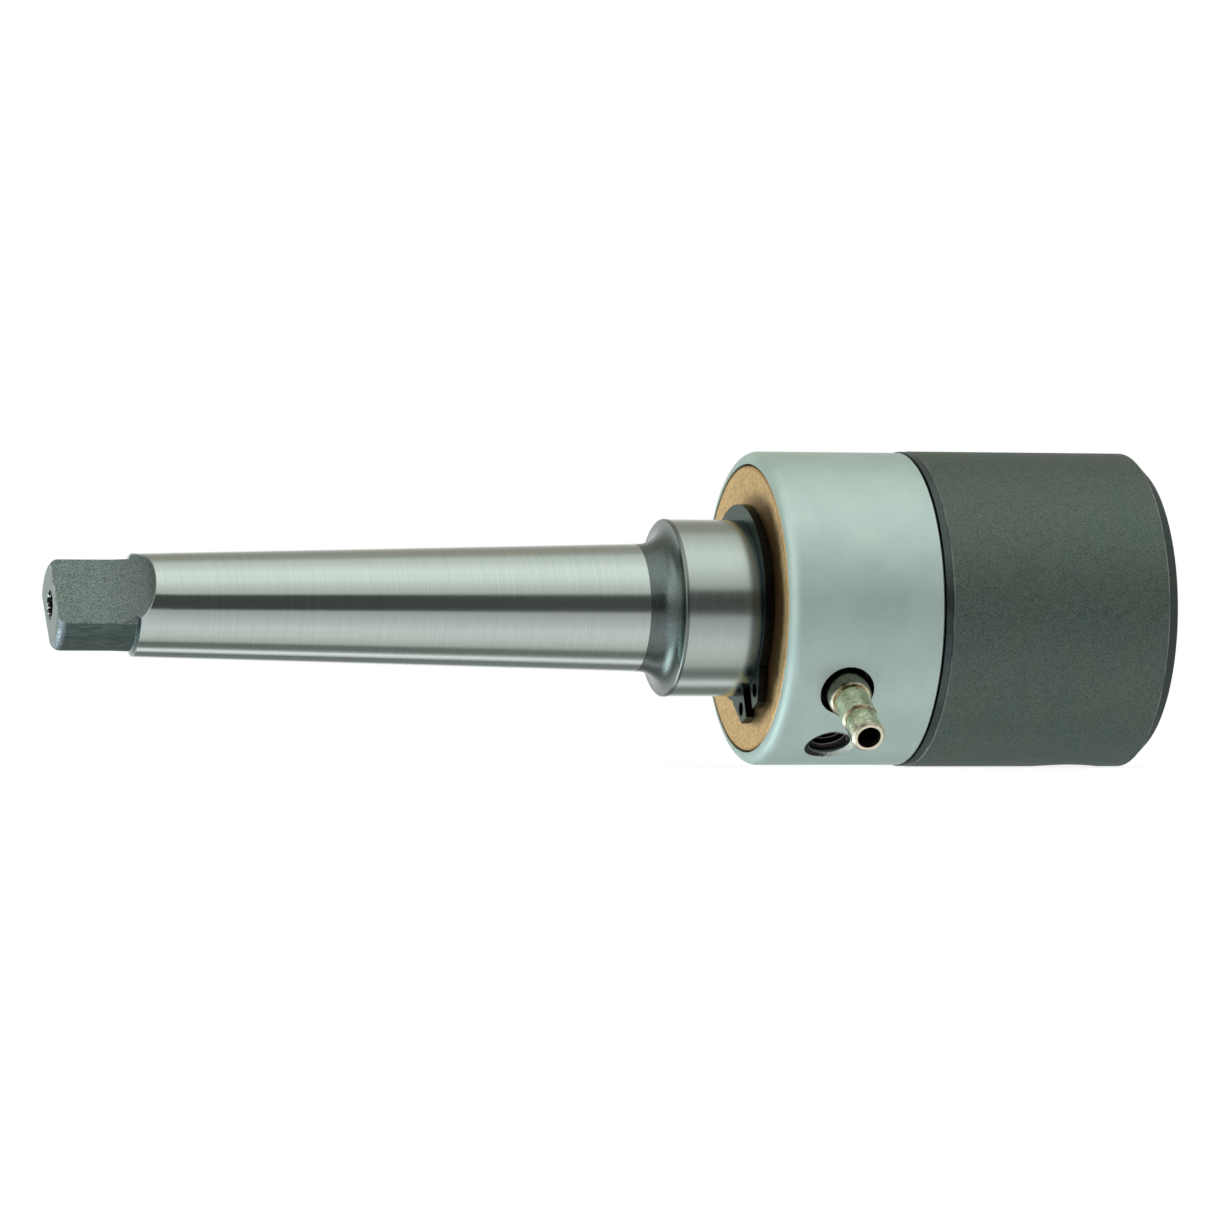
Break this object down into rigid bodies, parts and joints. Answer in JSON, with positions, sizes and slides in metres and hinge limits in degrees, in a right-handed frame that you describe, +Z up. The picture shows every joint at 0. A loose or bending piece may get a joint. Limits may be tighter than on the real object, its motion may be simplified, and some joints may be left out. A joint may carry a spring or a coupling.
{
  "type": "morse taper adapter",
  "caption": "Morse taper arbor for plain-shank annular cutters, with a clamped cutter bore and a rotating coolant ring with hose nipple.",
  "frame": {"origin": "on the axis in the Morse taper's gauge plane", "axes": "+X along the axis from the tang to the cutter bore, +Z up, the front with the hose nipple faces -Y"},
  "size_m": [0.1583, 0.0524, 0.0449],
  "materials": {
    "ground_steel": "finely ground cone and journal, black-oxide tang, neck and head",
    "ring_steel": "satin turned",
    "black_steel": "black oxide",
    "spring_steel": "phosphated",
    "bronze": "matte sintered bronze",
    "yellow_zinc": "yellow-passivated zinc",
    "seal_rubber": "matte"
  },
  "bodies": {
    "arbor": {"arbor_body": "ground_steel", "external_circlip": "spring_steel", "rear_thrust_washer": "black_steel", "internal_circlip": "spring_steel", "spring_seat": "spring_steel"},
    "ring": {"coolant_ring": "ring_steel", "front_bush": "bronze", "rear_bush": "bronze", "front_seal": "seal_rubber", "rear_seal": "seal_rubber", "front_seal_spring": "spring_steel", "rear_seal_spring": "spring_steel", "hose_nipple": "yellow_zinc", "nipple_washer": "bronze"},
    "plunger": {"valve_plunger": "bronze", "plunger_seal": "seal_rubber", "valve_spring": "spring_steel"},
    "screw_front": {"set_screw_front": "black_steel"},
    "screw_side": {"set_screw_side": "black_steel"}
  },
  "joints": [
    {"name": "ring_turn", "type": "hinge", "parent": "arbor", "child": "ring", "pos_m": [0.03074, 0, 0], "axis": [1, 0, 0], "continuous": true},
    {"name": "plunger_push", "type": "slide", "parent": "arbor", "child": "plunger", "axis": [-1, 0, 0], "range_m": [0, 0.023], "stiffness_N_per_m": 1050, "springref_m": -0.006, "deforming": ["valve_spring"]},
    {"name": "screw_front_drive", "type": "slide", "parent": "arbor", "child": "screw_front", "axis": [0, -0.0698, 0.9976], "range_m": [-0.003, 0.002]},
    {"name": "screw_side_drive", "type": "slide", "parent": "arbor", "child": "screw_side", "axis": [0, -0.9976, -0.0698], "range_m": [-0.003, 0.002]}
  ]
}
